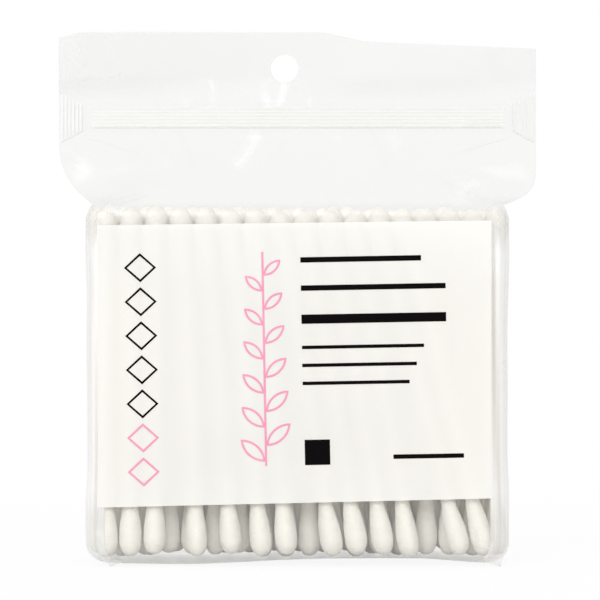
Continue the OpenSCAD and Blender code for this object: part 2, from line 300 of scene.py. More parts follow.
class Finish:
    """The nodes of one material, or of the world."""

    def __init__(self, name, kind="materials"):
        self.block = getattr(bpy.data, kind).new(name)
        self.block.use_nodes = True
        self.tree = self.block.node_tree
        self.tree.nodes.clear()

    def node(self, kind, settings=None, inputs=None):
        """Adds a node, sets it up, then sets or links its sockets. Gives its first output."""
        made = self.tree.nodes.new(kind)
        for key, value in (settings or {}).items():
            setattr(made, key, value)
        named = {socket.identifier: socket for socket in made.inputs}
        for key, value in (inputs or {}).items():
            socket = named.get(key) or made.inputs[key]
            if isinstance(value, Value):
                self.tree.links.new(value.socket, socket)
            elif socket.type == "RGBA":
                socket.default_value = (*value[:3], 1)
            else:
                socket.default_value = value
        first = next((socket for socket in made.outputs if socket.enabled), None)
        return Value(self, first)

    def place(self):
        """The point's place on the object, in metres."""
        return self.node("ShaderNodeTexCoord").out("Object")

    def stretched(self, place, x, y, z):
        """A place scaled by a factor along each axis."""
        inputs = {"Vector": place, "Vector_001": (x, y, z)}
        return self.node("ShaderNodeVectorMath", {"operation": "MULTIPLY"}, inputs)

    def noise(self, place, scale, detail=2.0, rough=0.55):
        """Noise from 0 to 1, with about scale grains in a metre."""
        inputs = {"Vector": place, "Scale": scale, "Detail": detail, "Roughness": rough}
        return self.node("ShaderNodeTexNoise", {}, inputs)

    def wave(self, turn):
        """The sine of an angle."""
        return self.node("ShaderNodeMath", {"operation": "SINE"}, {0: turn})

    def mark(self, name):
        """A value that the mesh carries at its points."""
        return self.node("ShaderNodeAttribute", {"attribute_name": name}).out("Fac")

    def blend(self, share, low, high):
        """A colour between two colours."""
        inputs = {"Factor_Float": share, "A_Color": low, "B_Color": high}
        return self.node("ShaderNodeMix", {"data_type": "RGBA"}, inputs)

    def uneven(self, share, colour, low, high):
        """A colour that goes from one shade of it to another."""
        return self.blend(share, shade(colour, low), shade(colour, high))

    def bump(self, height, distance, strength):
        """A normal from a height from 0 to 1 that stands for a distance in metres."""
        inputs = {"Height": height, "Distance": distance, "Strength": strength}
        return self.node("ShaderNodeBump", {}, inputs)

    def surface(self, **inputs):
        """The principled surface, its sockets given by name with _ for spaces."""
        inputs = {key.replace("_", " "): value for key, value in inputs.items()}
        return self.node("ShaderNodeBsdfPrincipled", {}, inputs)

    def done(self, shader):
        """Links the shader to the output and gives the material."""
        self.node("ShaderNodeOutputMaterial", {}, {"Surface": shader})
        return self.block


def shade(colour, factor):
    """A colour made darker or lighter by a factor."""
    return tuple(min(1.0, part * factor) for part in colour)


def see_through(finish, tint, share, surface):
    """A surface that covers only a share of what is behind it."""
    clear = finish.node("ShaderNodeBsdfTransparent", {}, {"Color": tint})
    return finish.node("ShaderNodeMixShader", {}, {"Fac": share, 1: clear, 2: surface})


def film_finish(colours):
    """Clear film: hazy at a grazing angle and on corners, whiter on creases with a painted
    highlight, and tan with painted shade where it is doubled.
    """
    f = Finish("clear_film")
    place = f.place()
    cloud = f.noise(place, 55.0)
    ripple = f.noise(f.stretched(place, 1.0, 1.0, 0.35), 150.0)
    facing = f.node("ShaderNodeLayerWeight", {}, {"Blend": 0.5}).out("Facing")
    crease_highlight, haze, painted_shade = f.mark("crease_highlight"), f.mark("haze"), f.mark("painted_shade")
    share = 0.025 + 0.02 * cloud + 0.25 * facing**4.0 + 0.32 * crease_highlight + haze + painted_shade
    # bright is the painted highlight along creases, partly the whitening of creased film, with the
    # whiter haze
    bright = (crease_highlight + 1.6 * (haze - 0.25).most(0.0)).least(1.0)
    face = f.blend(bright, tuple(colours.veil), (0.96, 0.96, 0.955))
    surface = f.surface(
        # The tan foot colour is painted shade
        Base_Color=f.blend((1.6 * painted_shade).least(1.0), face, tuple(colours.foot)),
        Metallic=0.2,
        Roughness=0.24 + 0.1 * cloud + 0.2 * crease_highlight,
        Normal=f.bump(ripple, 0.00008, 0.4),
    )
    return f.done(see_through(f, tuple(colours.film), share.least(0.9), surface))


def zip_finish(plastic, name, axis, pitch):
    """Milky plastic with fine ribs, pitch apart in millimetres along an axis, shown by bumps and by
    painted shade in lines between them.
    """
    f = Finish(name)
    place = f.place()
    along = f.node("ShaderNodeSeparateXYZ", {}, {"Vector": place}).out(axis)
    rib = 0.5 + 0.5 * f.wave(along * (math.tau / (pitch * MM)))
    drawn = f.noise(f.stretched(place, 0.02, 1.0, 1.0), 2600.0)
    cloud = f.noise(place, 160.0)
    # Painted shade: the colour darkens in fine lines between the ribs
    tone = 0.6 * rib + 0.2 * drawn + 0.2 * cloud
    surface = f.surface(
        Base_Color=f.uneven(tone, plastic, 0.95, 1.03),
        Roughness=0.25 + 0.2 * drawn,
        Normal=f.bump(0.8 * rib + 0.2 * drawn, 0.00006, 0.6),
        Specular_IOR_Level=0.4,
    )
    return f.done(surface)


def panel_finish(colours):
    """White ink on film, with soft upright streaks and painted shade over the gaps between the
    swabs behind it.
    """
    f = Finish("white_ink")
    place = f.place()
    streak = f.noise(f.stretched(place, 1.0, 1.0, 0.02), 230.0)
    cloud = f.noise(place, 30.0)
    grain = f.noise(place, 2500.0)
    gap = f.mark("gap")
    # Painted shade: the ink is darker over the gaps between the swabs behind it
    light = 0.35 * streak + 0.35 * cloud + 0.3 * (1 - gap)
    surface = f.surface(
        Base_Color=f.uneven(light, colours.panel, 0.95, 1.03),
        Roughness=0.42 + 0.1 * cloud,
        Normal=f.bump(grain, 0.00002, 0.3),
        Specular_IOR_Level=0.3,
    )
    behind = f.node("ShaderNodeBsdfTranslucent", {}, {"Color": (0.95, 0.92, 0.87)})
    return f.done(f.node("ShaderNodeMixShader", {}, {"Fac": 0.2, 1: surface, 2: behind}))


def ink_finish(name, tone, fade):
    """Coloured ink, very slightly uneven and broken at its grain."""
    f = Finish(name)
    place = f.place()
    grain = f.noise(place, 3000.0)
    cloud = f.noise(place, 120.0)
    surface = f.surface(
        Base_Color=f.blend(0.5 * grain + 0.5 * cloud, shade(tone, 0.9), fade),
        Roughness=0.5 + 0.15 * cloud,
        Normal=f.bump(grain, 0.00002, 0.3),
        Specular_IOR_Level=0.04,
    )
    return f.done(surface)


def cotton_finish(colours):
    """Wound cotton: fine fibres that lie round the tip, with a soft bloom."""
    f = Finish("cotton")
    place = f.place()
    fibre = f.noise(f.stretched(place, 1.0, 1.0, 3.0), 1500.0, 4.0, 0.65)
    tuft = f.noise(place, 420.0, 3.0)
    wind = f.mark("wind")
    height = 0.5 * fibre + 0.35 * tuft + 0.15 * wind
    surface = f.surface(
        Base_Color=f.uneven(tuft, colours.cotton, 0.95, 1.03),
        Roughness=0.9,
        Normal=f.bump(height, 0.0005, 0.7),
        Sheen_Weight=0.25,
        Sheen_Roughness=0.5,
        Specular_IOR_Level=0.2,
    )
    return f.done(surface)


def paper_finish(colours):
    """Rolled paper: fine grain along the stem and the spiral edge of the roll."""
    f = Finish("rolled_paper")
    place = f.place()
    grain = f.noise(f.stretched(place, 3.0, 3.0, 0.4), 900.0, 3.0)
    cloud = f.noise(place, 90.0)
    seam = f.mark("seam")
    surface = f.surface(
        Base_Color=f.uneven(0.5 * cloud + 0.3 * grain + 0.2 * seam, colours.paper, 1.05, 0.88),
        Roughness=0.6,
        Normal=f.bump(0.7 * grain + 0.3 * seam, 0.00006, 0.6),
    )
    return f.done(surface)


# Swabs

# How far one tip lies from the next in the waves that shape them, so that no two are alike
APART = 37.0
# Relief of a tip in millimetres: lumps, tufts, more tufts at the end, turns, and room for them
LUMP_H, TUFT_H, END_TUFT_H, WIND_H, SUNK = 0.09, 0.035, 0.04, 0.02, 0.1
# Length of each stem end that stays unbuilt inside its tip, in millimetres
HIDDEN = 4
# Rise of the paper's spiral edge and its climb in a turn, in millimetres
ROLL_H, ROLL_PITCH = 0.02, 16


def row_axes(row):
    """Lowest and highest end of every swab of a row, read from its stems."""
    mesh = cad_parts[f"row_{row}_stems"].data
    points = np.array([vertex.co for vertex in mesh.vertices]) / MM
    middle = (points[:, 2].min() + points[:, 2].max()) / 2
    ends = []
    for part in (points[points[:, 2] < middle], points[points[:, 2] > middle]):
        part = part[np.argsort(part[:, 0])]
        cuts = np.nonzero(np.diff(part[:, 0]) > STEM_R)[0] + 1
        ends.append(np.array([(p.min(0) + p.max(0)) / 2 for p in np.split(part, cuts)]))
    low, high = ends
    if len(low) != len(high):
        raise RuntimeError(f"the stems of row {row} can't be told apart")
    along = (high - low) / np.linalg.norm(high - low, axis=1)[:, None]
    return low - along * TIP_CAP, high + along * TIP_CAP


def turned_points(start, along, run, radius, turn):
    """Points round axes: start and along are (n, 3), run (r), radius (n, r, t), turn (t)."""
    side = np.cross(along, (0.0, 1.0, 0.0))
    side /= np.linalg.norm(side, axis=1)[:, None]
    front = np.cross(along, side)
    spin = turn[:, None]
    ring = side[:, None, None] * np.cos(spin) + front[:, None, None] * np.sin(spin)
    spine = start[:, None] + along[:, None] * run[None, :, None]
    return spine[:, :, None] + ring * radius[..., None]


def build_tips(sizes, row, upper, finish):
    """The wound cotton tips at one end of a row, each with its own lumps and windings."""
    low, high = row_axes(row)
    start, other = (high, low) if upper else (low, high)
    along = (other - start) / np.linalg.norm(other - start, axis=1)[:, None]
    outer_row = row in (ROWS[0], ROWS[-1])
    turns, rings = (40, 36) if outer_row else (24, 22)
    round_end = sizes.belly * (1 - np.cos(np.linspace(0.02, math.pi / 2, rings // 3)))
    taper = np.linspace(sizes.belly, sizes.tip_l, rings - rings // 3 + 1)[1:]
    run = np.concatenate([round_end, taper])
    length = run[None, :, None]
    fat = STEM_R + sizes.neck_t + (TIP_R - STEM_R - sizes.neck_t) * (
        1 + np.cos(np.pi * (run - sizes.belly) / (sizes.tip_l - sizes.belly))
    ) / 2
    dome = TIP_R * (1 - (1 - np.minimum(run / sizes.belly, 1)) ** sizes.blunt) ** (1 / sizes.blunt)
    base = np.where(run < sizes.belly, dome, fat)[None, :, None]
    turn = np.linspace(0, math.tau, turns, endpoint=False)
    count = len(start)
    number = np.arange(count)[:, None, None] * APART
    place = number + TIP_R * np.cos(turn), number * 0.7 + TIP_R * np.sin(turn), length + 0 * number
    seed = 100 * row + upper
    lump = wander(place, seed, 4.5)
    tuft = wander(place, seed + 50, 1.6)
    slant = length / sizes.wind * math.tau + turn + number
    wind = np.sin(slant + 0.8 * tuft)
    ragged = TUFT_H + END_TUFT_H * clamp(1 - length / sizes.belly)
    relief = LUMP_H * lump + ragged * tuft + WIND_H * wind - SUNK
    radius = base + clamp(length / 1.2) * relief
    frayed = clamp((length - sizes.tip_l + 2) / 2)
    radius = np.minimum(radius + 0.05 * frayed * (1 + lump), TIP_R + 0.02)
    last = np.full((count, 1, turns), STEM_R * 0.98)
    radius = np.concatenate([np.maximum(radius, 0.05), last], axis=1)
    points = turned_points(start, along, np.append(run, run[-1] + 0.15), radius, turn)
    rings += 1
    size = rings * turns
    faces = []
    for i in range(count):
        faces += grid_faces(rings, turns, i * size, closed=True).tolist()
        faces.append(list(range(i * size + turns - 1, i * size - 1, -1)))
    if not upper:
        faces = [face[::-1] for face in faces]
    marks = np.concatenate([0.5 + 0.5 * wind, np.full((count, 1, turns), 0.5)], axis=1)
    part = "upper" if upper else "lower"
    nodes = [f"row_{row}_{part}_tips"]
    add_piece(f"cotton_{part}_{row}", points, faces, finish, nodes, {"wind": marks})


def build_stems(row, finish):
    """The rolled paper stems of a row, with the slight step of the roll's spiral edge."""
    low, high = row_axes(row)
    full = np.linalg.norm(high - low, axis=1)
    along = (high - low) / full[:, None]
    turns, rings = 24, 40
    run = np.linspace(TIP_CAP + HIDDEN, full.min() - TIP_CAP - HIDDEN, rings)
    turn = np.linspace(0, math.tau, turns, endpoint=False)
    number = np.arange(len(low))[:, None, None] * 1.7
    climb = run[None, :, None] / ROLL_PITCH
    spiral = np.mod(turn / math.tau + climb + number, 1.0)
    radius = STEM_R - ROLL_H * spiral
    points = turned_points(low, along, run, radius, turn)
    size = rings * turns
    faces = []
    for i in range(len(low)):
        faces += grid_faces(rings, turns, i * size, closed=True)[:, ::-1].tolist()
        faces.append(list(range(i * size, i * size + turns)))
        faces.append(list(range((i + 1) * size - 1, (i + 1) * size - turns - 1, -1)))
    marks = {"seam": np.exp(-(((spiral - 0.5) / 0.08) ** 2))}
    nodes = [f"row_{row}_stems"]
    add_piece(f"paper_stems_{row}", points, faces, finish, nodes, marks)


# Film

# Folds of each sheet: x and z of both ends, height and width in millimetres, and the brightness of
# the painted highlight along the fold, partly the whitening of creased film
FRONT_FOLDS = [
    (-23.8, 97.2, -23.1, 95.4, 0.2, 0.7, 0.4),
    (-18.4, 101.4, -17.7, 95.6, 0.2, 0.6, 0.6),
    (-7.5, 98.2, -5.8, 95.5, 0.25, 0.9, 0.8),
    (-2.7, 100.4, -4.2, 95.6, 0.3, 1, 0.9),
    (2.7, 98.2, 2.4, 95.5, 0.2, 0.6, 0.6),
    (26.3, 99.6, 25.2, 97.8, 0.15, 0.8, 0.25),
    (-8.5, 90.2, -13, 82.4, 0.4, 1.5, 0.9),
    (7.4, 91, 9, 84.8, 0.2, 1.2, 0.35),
    (19, 90.8, 21, 85.4, 0.2, 1.2, 0.4),
    (28.6, 91.3, 29.8, 88.4, 0.2, 0.9, 0.35),
    (34.6, 91.2, 43.6, 90.6, 0.2, 0.7, 0.5),
    (-50, 86.6, -45.2, 84.2, 0.25, 0.6, 0.5),
    (-46.2, 84, -43.8, 81.5, 0.4, 2, 0.9),
    (-39.8, 73.9, -37, 72.9, 0.25, 0.7, 0.7),
    (32.8, 76.4, 38.6, 80, 0.4, 1.4, 0.8),
    (31.6, 81.4, 32.6, 79, 0.2, 1, 0.25),
    (39, 80.6, 48, 81.8, 0.4, 2.2, 0.5),
    (37, 76.6, 46.5, 79.6, -0.4, 1.6, 0),
    (-30, 90.8, -33.5, 86, 0.2, 1.2, 0.12),
    (35.5, 5.8, 39.8, 3, 0.35, 0.9, 0.7),
    (-41, 6.5, -38, 2, 0.25, 0.7, 0.3),
]
BACK_FOLDS = [
    (-30.6, 98.4, -29.4, 95.6, 0.3, 0.5, 0.6),
    (-9.4, 99.8, -8, 95.6, 0.35, 0.6, 0.7),
    (1.2, 100.2, 2.6, 95.6, 0.35, 0.6, 0.7),
    (20.4, 99, 19.4, 95.5, 0.25, 0.5, 0.5),
    (-26, 91, -22, 83.4, 0.4, 0.9, 0.7),
    (-2.6, 91, -4, 85.2, 0.3, 0.7, 0.5),
    (15, 91.2, 18.6, 82.6, 0.45, 0.9, 0.8),
    (-49, 84.6, -44, 82, 0.4, 0.9, 0.8),
    (-38.4, 79.6, -33.6, 76.4, 0.4, 1, 0.7),
    (38, 80.4, 48, 82.4, 0.4, 0.9, 0.8),
    (33.6, 76.2, 38.6, 79, 0.4, 1, 0.7),
    (-40.6, 5.6, -37.6, 2.6, 0.3, 0.6, 0.6),
    (36.6, 5, 40, 2.4, 0.3, 0.6, 0.6),
]
# Places along the base's front edge, and the share of its highest rise that it has there
BASE_X = (-38, -26, -20, -12, -4, 6, 18, 26, 33, 40)
BASE_SHARE = (0.4, 0.28, 0.3, 0.5, 0.75, 0.95, 1, 0.97, 0.65, 0.35)
# Folded ears under the base's corners: x and height of a triangle's tip and other two corners
EARS = [
    (-38.4, 0.0, -40.6, 2.4, -35.8, 1.2),
    (41.8, 0.0, 38.2, 1.3, 42.7, 3.0),
]
# How sharply the film bends: sides and faces of the pinch, left and right shoulder, the sheets
# up to the zip, and their side walls
SIDE_BEND, FACE_BEND, LEFT_BEND, RIGHT_BEND, SHEET_BEND, WALL_BEND = 1.4, 2.4, 2.6, 7, 1.1, 9
# Height of the pinch under the tops of the swabs, and how wide the shoulders' rounding grows
PINCH_H, SHOULDER_REACH = 3.2, 20
# Relief of the loose film in millimetres: dips between stems and tips, then long and short waves
STEM_DIP, TIP_DIP = 0.1, 0.25
BODY_SWELL, BODY_RIPPLE = 0.22, 0.06
SHOULDER_SWELL, SHOULDER_RIPPLE = 0.5, 0.12
HEADER_SWELL, HEADER_RIPPLE = 0.55, 0.12
# Haze of the upright corners, of the film over the swabs' tops, and of the header
CORNER_HAZE, CROWN_HAZE, HEADER_HAZE = 0.4, 0.2, 0.16
# Painted shade in tan, at the doubled foot, over the gaps between the front's lower tips, and under
# the base
FOOT_SHADE, GAP_SHADE, BASE_SHADE = 0.2, 0.22, 0.25
# What the ears carry of each mark, painted highlight and painted shade among them
EAR_MARK = 0.15


def fold_relief(x, z, folds):
    """Height and painted highlight that the folds give at places on a sheet."""
    height, bright = np.zeros_like(x), np.zeros_like(x)
    for x0, z0, x1, z1, rise, width, shine in folds:
        run = math.hypot(x1 - x0, z1 - z0)
        ux, uz = (x1 - x0) / run, (z1 - z0) / run
        t = ((x - x0) * ux + (z - z0) * uz) / run
        off = (x - x0) * uz - (z - z0) * ux + 0.06 * run * np.sin(math.pi * clamp(t))
        ends = ease(t / 0.25 + 0.5) * ease((1 - t) / 0.25 + 0.5)
        height += 0.25 * rise * ends * np.exp(-((off / (1.3 * width)) ** 2))
        bright = np.maximum(bright, shine * ends * np.exp(-((off / width) ** 2)))
    return height, bright


def foot_in(z, radius):
    """How far a foot of a radius is drawn in at height z."""
    low = np.minimum(z, radius)
    return radius - np.sqrt(np.maximum(low * (2 * radius - low), 0))


class FilmShape:
    """The pouch's film. A place on it is c, from the right seam (0) past the front to the left
    seam (3) and past the back to the right seam (6), and the height z before the ends are cut."""

    def __init__(self, sizes):
        self.s = sizes
        self.body_top = sizes.crown_z - PINCH_H
        self.shoulder_h = BAND_Z - sizes.crown_z
        self.hole_z = TOP_Z - sizes.hole_drop
        self.rim_z = self.hole_z - sizes.hole_r - 1
        self.front = row_axes(ROWS[0])
        self.back = row_axes(ROWS[-1])

    def section(self, z):
        """Half widths, half depth, reach, side wall, roundness and sealed share at heights z."""
        s = self.s
        rise = clamp((z - self.body_top) / (s.crown_z - self.body_top))
        side_in = foot_in(z, s.side_foot_r) + s.pinch * rise**SIDE_BEND
        face_in = foot_in(z, s.foot_r) + s.crown_drop * rise**FACE_BEND
        t = clamp((z - s.crown_z) / self.shoulder_h)
        full = HEADER_HW - BODY_HW + s.pinch
        crown_hd = BODY_HD - s.crown_drop
        on = z > s.crown_z
        left = np.where(on, HEADER_HW - full * (1 - t) ** LEFT_BEND, BODY_HW - side_in)
        right = np.where(on, HEADER_HW - full * (1 - t) ** RIGHT_BEND, BODY_HW - side_in)
        depth = np.where(on, mix(s.zip_hd, crown_hd, (1 - t) ** SHEET_BEND), BODY_HD - face_in)
        over = ease((z - ZIP_Z - ZIP_H / 2 - 0.1) / 1.5)
        depth = mix(depth, s.header_hd, over)
        swell = SHOULDER_REACH * np.sin(math.pi * t)
        reach = np.where(on, mix(s.corner_r, s.weld_w, t) + swell, s.corner_r)
        wall = mix(s.header_hd, crown_hd - s.corner_r, (1 - t) ** WALL_BEND)
        wall = np.where(on, wall, BODY_HD - s.corner_r - face_in)
        return left, right, depth, reach, wall, clamp(1 - 1.6 * t) ** 2, 0.85 * t

    def lifts(self, x, z):
        """How far the base's arch and the cut top edge move a place up."""
        s = self.s
        arch = s.base_rise * np.interp(x, BASE_X, BASE_SHARE)
        low = clamp(1 - z / self.body_top)
        cut = -s.cut_left * (1 - ease((x + HEADER_HW) / 5))
        slope = 0.55 * ease((x - 4) / 12) + 0.45 * clamp((x - 12) / (HEADER_HW - 12))
        cut = cut - s.cut_right * slope
        high = clamp((z - self.rim_z) / (TOP_Z - self.rim_z))
        return low * arch, high * cut

    def swab_gap(self, x, z, ends):
        """Distance from the nearest swab of a row, in swab radii from 0 to 1."""
        low, high = ends
        t = (z[..., None] - low[:, 2]) / (high[:, 2] - low[:, 2])
        off = np.abs(x[..., None] - mix(low[:, 0], high[:, 0], t)).min(-1)
        return clamp(off / (TIP_R + 0.2))

    def slack(self, x, y, z, face, gap, body):
        """How far the loose film stands outside its section."""
        tips = np.maximum(1 - ease((z - 9) / 8), ease((z - 58) / 8)) * body
        push = -(STEM_DIP + TIP_DIP * tips) * gap**2 * body * ease(z / 4)
        middle = ease((z - 10) / 12) * ease((66 - z) / 12)
        push += BODY_SWELL * middle * (wander((x, y, z), 5, 34) - 0.9)
        push += BODY_RIPPLE * body * ease(z / 6) * (wander((x, y, 0.5 * z), 6, 9) - 1)
        slope = ease((z - self.s.crown_z + 1) / 4) * ease((BAND_Z + 1 - z) / 5)
        away = ease(np.abs(y) / 2.2)
        push += slope * away * (SHOULDER_SWELL * wander((x, face * 9, 0.7 * z), 7, 17) - 0.2)
        push += slope * away * SHOULDER_RIPPLE * wander((x, face * 9, 0.4 * z), 8, 6)
        return push

    def round_hole(self, points):
        """Pulls the squares of points round the hang hole into rings."""
        s = self.s
        dx, dz = points[..., 0] - s.hole_x, points[..., 2] - self.hole_z
        square = np.maximum(np.abs(dx), np.abs(dz))
        turn = square / np.maximum(np.hypot(dx, dz), 1e-9)
        pull = mix(1, turn, ease((2.4 * s.hole_r - square) / (1.2 * s.hole_r)))
        points[..., 0] = s.hole_x + dx * pull
        points[..., 2] = self.hole_z + dz * pull

    def haze(self, x, z, a, face, body, header):
        """How milky the film is, at angles a round its corners."""
        crown_z = self.s.crown_z
        bend = ease(a / 0.3) * ease((math.pi / 2 - a) / 0.12)
        fluted = 1 + 0.3 * wander((9 * a, 0.06 * z, 5 * face), 13, 4)
        corner = (CORNER_HAZE + 0.25 * ease((z - 8) / 8)) * (1 - 0.75 * ease((z - 64) / 9))
        haze = corner * body * bend * fluted
        over = ease((z - 66) / 4) * (1 - ease((z - crown_z + 0.5) / 2))
        haze += CROWN_HAZE * over * (1 - bend)
        end = HEADER_HAZE * clamp(-x / HEADER_HW) ** 2
        haze += header * (HEADER_HAZE + end + 0.02 * wander((x, z), 12, 30))
        return haze

    def at(self, c, z, out=0.0):
        """Points of the film at c and z, moved outwards by out, and the marks that they carry."""
        s = self.s
        c, z = np.broadcast_arrays(np.asarray(c, float), np.asarray(z, float))
        left, right, depth, reach, wall, rounded, flat = self.section(z)
        face = np.where(c <= 3, -1.0, 1.0)
        k = np.where(c <= 3, c, 6 - c)
        on_right, on_left = k < 1, k > 2
        corner = np.where(on_right, k, np.where(on_left, 3 - k, 1.0))
        a = math.pi / 2 * np.sin(math.pi / 2 * corner)
        t = 1 - np.cos(a)
        sealed = ease((t - flat) / (1 - flat))
        half = mix(wall, depth, mix(sealed, np.sin(a), rounded))
        x = mix(right - reach, reach - left, k - 1)
        x = np.where(on_right, right - reach * t, np.where(on_left, reach * t - left, x))
        body = 1 - ease((z - s.crown_z) / 3)
        way_x = np.where(on_right, np.cos(a), np.where(on_left, -np.cos(a), 0)) * body
        way_y = face * np.where(way_x == 0, 1.0, np.sqrt(clamp(1 - way_x**2)))
        y = face * half
        front, back = self.swab_gap(x, z, self.front), self.swab_gap(x, z, self.back)
        gap = np.where(face < 0, front, back) * (np.abs(way_x) < 0.35)
        push = self.slack(x, y, z, face, gap, body)
        front_rise, front_shine = fold_relief(x, z, FRONT_FOLDS)
        back_rise, back_shine = fold_relief(x, z, BACK_FOLDS)
        push += np.where(face < 0, front_rise, back_rise)
        # Painted highlight along the folds, partly the whitening of creased film, faint on the back
        # sheet
        crease_highlight = np.where(face < 0, front_shine, 0.12 * back_shine)
        header = ease((z - ZIP_Z - ZIP_H / 2 - 1) / 6)
        inside = ease((HEADER_HW - np.abs(x)) / 7)
        ripple = HEADER_RIPPLE * inside * wander((x, 0.3 * z), 10, 11)
        bow = header * (HEADER_SWELL * wander((x, 0.6 * z), 9, 42) + ripple)
        push += header * inside * HEADER_RIPPLE * (1 + wander((x, z, 5 * face), 11, 20))
        up, cut = self.lifts(x, z)
        push = push + out - s.film_t / 2
        points = np.stack([x + way_x * push, y + way_y * push + bow, z + up + cut], -1)
        self.round_hole(points)
        haze = self.haze(x, z, a, face, body, header)
        # Painted shade in tan at the doubled foot and over the gaps between the lower front tips
        painted_shade = FOOT_SHADE * (1 - ease((z - 0.6) / 2.6)) * np.sin(a) ** 4
        painted_shade += GAP_SHADE * (face < 0) * gap**1.5 * ease((z - 1) / 3) * (1 - ease((z - 12) / 3))
        return points, {"crease_highlight": crease_highlight, "gap": gap, "haze": haze, "painted_shade": painted_shade}

    def c_of(self, x):
        """The place c on the body's flat front for a distance x from the middle."""
        flat = BODY_HW - self.s.corner_r
        return 1 + (flat - x) / (2 * flat)

    def z_of(self, x, height):
        """The height z before the arch for a height above the ground on the front."""
        z = height
        for _ in range(4):
            z = height - self.lifts(x, z)[0]
        return z


def ear_flaps(sizes):
    """Small folded triangles of film that hang under the corners of the base, front and back."""
    down, across = np.meshgrid(np.linspace(0, 1, 9), np.linspace(0, 1, 9), indexing="ij")
    for tip_x, tip_z, x0, z0, x1, z1 in EARS:
        for face in (-1, 1):
            x = mix(mix(x0, x1, across), tip_x, down)
            z = mix(mix(z0, z1, across), tip_z, down)
            y = BODY_HD - 0.55 * foot_in(z, sizes.foot_r) - 0.2 - 0.15 * np.sin(5 * across) * down
            yield np.stack([x, face * y, z], -1).reshape(-1, 3)


def build_film(sizes, finish):
    """The clear film as one sheet round the swabs, with its hang hole."""
    shape = FilmShape(sizes)
    flat_hw = HEADER_HW - sizes.weld_w
    hole_sides = sizes.hole_x + sizes.hole_r, sizes.hole_x - sizes.hole_r
    hole_c = [1 + (flat_hw - side) / (2 * flat_hw) for side in hole_sides]
    corner = np.linspace(0, 1, 25)[:-1]
    flat = through(1.0, (hole_c[0], 57), (hole_c[1], 14), (2, 53))
    half = np.concatenate([corner, flat, 3 - corner[:0:-1]])
    c = np.concatenate([half, [3.0], 6 - half[:0:-1]])
    top = ZIP_Z + ZIP_H / 2
    foot = sizes.foot_r * (1 - np.cos(np.linspace(0, math.pi / 2, 8)))[:-1]
    upright = through(
        sizes.foot_r,
        (shape.body_top, 55),
        (sizes.crown_z, 7),
        (BAND_Z, 33),
        (top, 11),
        (shape.hole_z - sizes.hole_r, 13),
        (shape.hole_z + sizes.hole_r, 14),
        (TOP_Z, 10),
    )
    z = np.concatenate([foot, upright])
    points, marks = shape.at(c[None], z[:, None])
    shares = np.array([0.0, 0.3, 0.6, 0.85])
    base = np.repeat(points[:1], len(shares), axis=0)
    base[..., 1] *= shares[:, None]
    base[..., 2] = mix(0.35 * points[0, :, 2] + 0.45, points[0, :, 2], shares[:, None] ** 2)
    points = np.concatenate([base, points])
    # The base carries painted shade in tan, and no painted highlight or haze
    drawn = {
        mark: np.concatenate([np.full(base.shape[:2], inner), marks[mark]]).ravel()
        for mark, inner in (("crease_highlight", 0.0), ("haze", 0.0), ("painted_shade", BASE_SHADE))
    }
    faces = grid_faces(*points.shape[:2], closed=True)
    away = np.hypot(points[..., 0] - sizes.hole_x, points[..., 2] - shape.hole_z)
    in_hole = (away < sizes.hole_r + 0.01).ravel()
    faces = faces[~in_hole[faces].all(1)]
    points = points.reshape(-1, 3)
    for flap in ear_flaps(sizes):
        faces = np.concatenate([faces, grid_faces(9, 9, len(points))])
        points = np.concatenate([points, flap])
    spare = len(points) - len(drawn["haze"])
    drawn = {mark: np.append(values, np.full(spare, EAR_MARK)) for mark, values in drawn.items()}
    add_piece("film", points, faces.tolist(), finish, ["bag_film"], drawn)


# Print

# Where the panel starts and ends round the film, as places c a little way into each corner
PANEL_FROM, PANEL_TO = 0.75, 2.47
# How far the panel and the ink lie outside the middle of the film, in millimetres
PANEL_OUT, INK_OUT = 0.07, 0.12
# A height at which the body is at its full width
PLAIN_Z = 30.0
# Places and sizes of the drawings on the panel
DIAMOND_X, DIAMOND_W, DIAMOND_H, DIAMOND_STEP = -32, 6.6, 6, 7
SPRIG_X, SPRIG_LOW, SPRIG_HIGH = -6.8, 21, 65
LEAF_LOW, LEAF_STEP, LEAF_L, LEAF_W, LEAF_TURN = 23.5, 7, 6.8, 2.8, 48
TEXT_X, TEXT_W = 1, 31


